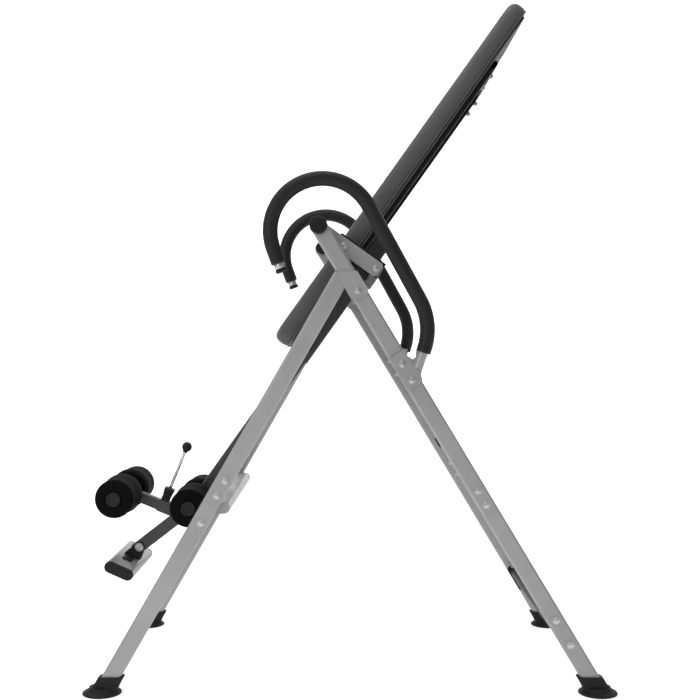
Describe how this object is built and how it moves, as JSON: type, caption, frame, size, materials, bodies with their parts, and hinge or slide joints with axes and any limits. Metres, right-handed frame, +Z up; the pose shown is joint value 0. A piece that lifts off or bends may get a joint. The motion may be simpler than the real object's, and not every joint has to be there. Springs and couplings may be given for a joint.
{
  "type": "inversion table",
  "caption": "Folding A-frame inversion table with a padded tilting bed, telescoping boom, roller ankle lock, tipping footrest and arched foam handles.",
  "frame": {"origin": "on the floor, at the middle of the feet", "axes": "+Z up, +X towards the rear feet (under the user's head), +Y towards the user's right side"},
  "size_m": [1.2628, 0.727, 1.6671],
  "materials": {
    "silver_paint": "satin",
    "dark_paint": "satin",
    "black_paint": "satin",
    "zinc": "satin",
    "chrome": "polished",
    "black_plastic": "satin",
    "nylon": "matte",
    "rubber": "matte",
    "grip_foam": "matte",
    "roller_foam": "matte",
    "pad_vinyl": "satin",
    "board": "matte"
  },
  "bodies": {
    "rear_frame": {"rear_leg_upper_left": "silver_paint", "rear_leg_upper_right": "silver_paint", "rear_leg_lower_left": "silver_paint", "rear_leg_lower_right": "silver_paint", "rear_foot_left": "rubber", "rear_foot_right": "rubber", "fold_bolt_left": "zinc", "fold_bolt_right": "zinc", "pivot_pin_left": "zinc", "pivot_pin_right": "zinc", "pivot_cap_left": "black_plastic", "pivot_cap_right": "black_plastic", "handle_bracket_left": "silver_paint", "handle_bracket_right": "silver_paint", "handle_tube_left": "silver_paint", "handle_tube_right": "silver_paint", "handle_grip_left": "grip_foam", "handle_grip_right": "grip_foam", "handle_tip_left": "black_plastic", "handle_tip_right": "black_plastic", "rear_cross_bar": "black_paint"},
    "front_frame": {"front_leg_upper_left": "silver_paint", "front_leg_upper_right": "silver_paint", "front_leg_lower_left": "silver_paint", "front_leg_lower_right": "silver_paint", "front_foot_left": "rubber", "front_foot_right": "rubber", "front_cross_bar": "silver_paint"},
    "bed": {"hinge_plate_left": "silver_paint", "hinge_plate_right": "silver_paint", "pivot_bush_left": "nylon", "pivot_bush_right": "nylon", "pad_rail_left": "black_paint", "pad_rail_right": "black_paint", "bed_cradle": "black_paint", "bed_main_tube": "dark_paint", "pad_head_bar": "black_paint", "bed_cross_bar_foot": "black_paint", "bed_cross_bar_head": "black_paint", "back_board": "board", "back_pad": "pad_vinyl"},
    "height_pin": {"height_pin": "black_plastic"},
    "boom": {"boom_tube": "dark_paint", "rear_axle": "dark_paint", "ankle_sleeve": "dark_paint", "latch_block": "black_plastic", "footrest_post": "dark_paint", "footrest_bolt": "zinc"},
    "ankle_slider": {"ankle_slider": "dark_paint", "front_axle": "dark_paint"},
    "latch": {"latch_rod": "chrome", "latch_ball": "black_plastic"},
    "footrest": {"footrest_bracket": "black_paint", "footrest_bar": "silver_paint", "footrest_cap_left": "black_plastic", "footrest_cap_right": "black_plastic"},
    "rear_roller_left": {"rear_roller_left": "roller_foam"},
    "rear_roller_right": {"rear_roller_right": "roller_foam"},
    "front_roller_left": {"front_roller_left": "roller_foam"},
    "front_roller_right": {"front_roller_right": "roller_foam"}
  },
  "joints": [
    {"name": "frame_fold", "type": "hinge", "parent": "rear_frame", "child": "front_frame", "pos_m": [0.01848, 0, 0.94415], "axis": [0, 1, 0], "range_deg": [-48, 0]},
    {"name": "bed_tilt", "type": "hinge", "parent": "rear_frame", "child": "bed", "pos_m": [-0.074, 0, 1.098], "axis": [0, 1, 0], "range_deg": [0, 125]},
    {"name": "height_pin_pull", "type": "slide", "parent": "bed", "child": "height_pin", "axis": [0, -1, 0], "range_m": [-0.007, 0]},
    {"name": "boom_slide", "type": "slide", "parent": "bed", "child": "boom", "axis": [-0.5793, 0, -0.8151], "range_m": [0, 0.15]},
    {"name": "ankle_slide", "type": "slide", "parent": "boom", "child": "ankle_slider", "axis": [0.9265, 0, -0.3762], "range_m": [0, 0.05]},
    {"name": "latch_pull", "type": "slide", "parent": "boom", "child": "latch", "axis": [0.3762, 0, 0.9265], "range_m": [-0.0055, 0]},
    {"name": "footrest_flip", "type": "hinge", "parent": "boom", "child": "footrest", "pos_m": [-0.54937, 0, 0.28754], "axis": [0, 1, 0], "range_deg": [-30, 60]},
    {"name": "rear_roller_spin_left", "type": "hinge", "parent": "boom", "child": "rear_roller_left", "pos_m": [-0.40086, 0, 0.41019], "axis": [0, 1, 0], "continuous": true},
    {"name": "rear_roller_spin_right", "type": "hinge", "parent": "boom", "child": "rear_roller_right", "pos_m": [-0.40086, 0, 0.41019], "axis": [0, 1, 0], "continuous": true},
    {"name": "front_roller_spin_left", "type": "hinge", "parent": "ankle_slider", "child": "front_roller_left", "pos_m": [-0.58692, 0, 0.43322], "axis": [0, 1, 0], "continuous": true},
    {"name": "front_roller_spin_right", "type": "hinge", "parent": "ankle_slider", "child": "front_roller_right", "pos_m": [-0.58692, 0, 0.43322], "axis": [0, 1, 0], "continuous": true}
  ]
}
